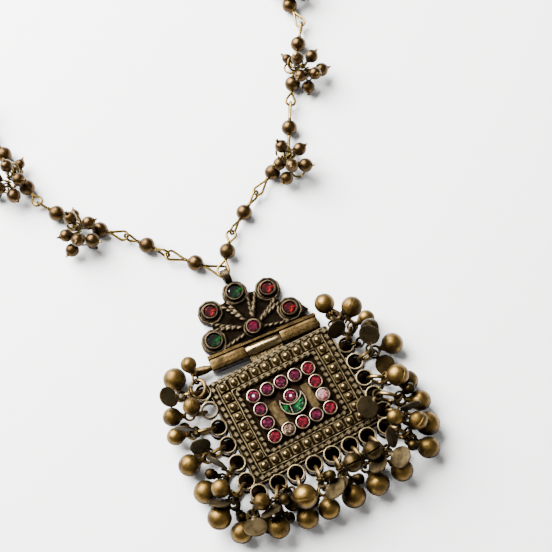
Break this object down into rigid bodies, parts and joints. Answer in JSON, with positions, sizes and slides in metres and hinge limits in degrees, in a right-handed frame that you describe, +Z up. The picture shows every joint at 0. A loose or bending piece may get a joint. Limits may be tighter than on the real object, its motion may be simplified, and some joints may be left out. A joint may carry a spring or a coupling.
{
  "type": "kuchi tribal necklace",
  "caption": "Beaded wire chain with a hinged pendant: a petal crest over a square stone-set plate fringed with bells and discs, lying flat.",
  "frame": {"origin": "on the surface the necklace lies on, under the middle of the plate's stone ring", "axes": "+X along the plate's bead rows, +Y from the plate's foot to the hinge and crest, +Z up from the surface"},
  "size_m": [0.138, 0.3242, 0.0147],
  "materials": {
    "plate_brass": "aged",
    "wire_brass": "satin",
    "bead_bronze": "aged",
    "fringe_brass": "aged",
    "red_glass": "gloss",
    "green_glass": "gloss",
    "clear_glass": "gloss"
  },
  "bodies": {
    "crest_and_chain": {"crest": "plate_brass", "hinge_pin": "plate_brass", "petal_stone_1": "green_glass", "petal_stone_2": "red_glass", "petal_stone_3": "green_glass", "petal_stone_4": "red_glass", "petal_stone_5": "red_glass", "crest_stone": "red_glass", "chain_wires": "wire_brass", "chain_beads": "bead_bronze", "bunch_right_low": "wire_brass", "bunch_right_mid": "wire_brass", "bunch_right_top": "wire_brass", "bunch_left_low": "wire_brass", "bunch_left_mid": "wire_brass", "bunch_left_top": "wire_brass"},
    "plate": {"plate": "plate_brass", "plate_stone_1": "red_glass", "plate_stone_2": "red_glass", "plate_stone_3": "red_glass", "plate_stone_4": "red_glass", "plate_stone_5": "clear_glass", "plate_stone_6": "red_glass", "plate_stone_7": "red_glass", "plate_stone_8": "red_glass", "plate_stone_9": "red_glass", "plate_stone_10": "red_glass", "plate_stone_11": "red_glass", "plate_stone_12": "red_glass", "plate_stone_13": "red_glass", "plate_stone_14": "red_glass", "plate_stone_15": "red_glass", "crescent_stone_left": "green_glass", "crescent_stone_right": "green_glass", "rings_left": "fringe_brass", "rings_foot": "fringe_brass", "rings_right": "fringe_brass", "bells_left": "fringe_brass", "bells_foot": "fringe_brass", "bells_right": "fringe_brass", "discs_left": "fringe_brass", "discs_foot": "fringe_brass", "discs_right": "fringe_brass"}
  },
  "joints": [
    {"name": "plate_hinge", "type": "hinge", "parent": "crest_and_chain", "child": "plate", "pos_m": [0.00115, 0.0168, 0.0018], "axis": [0.9972, -0.075, 0], "range_deg": [-80, 80]}
  ]
}
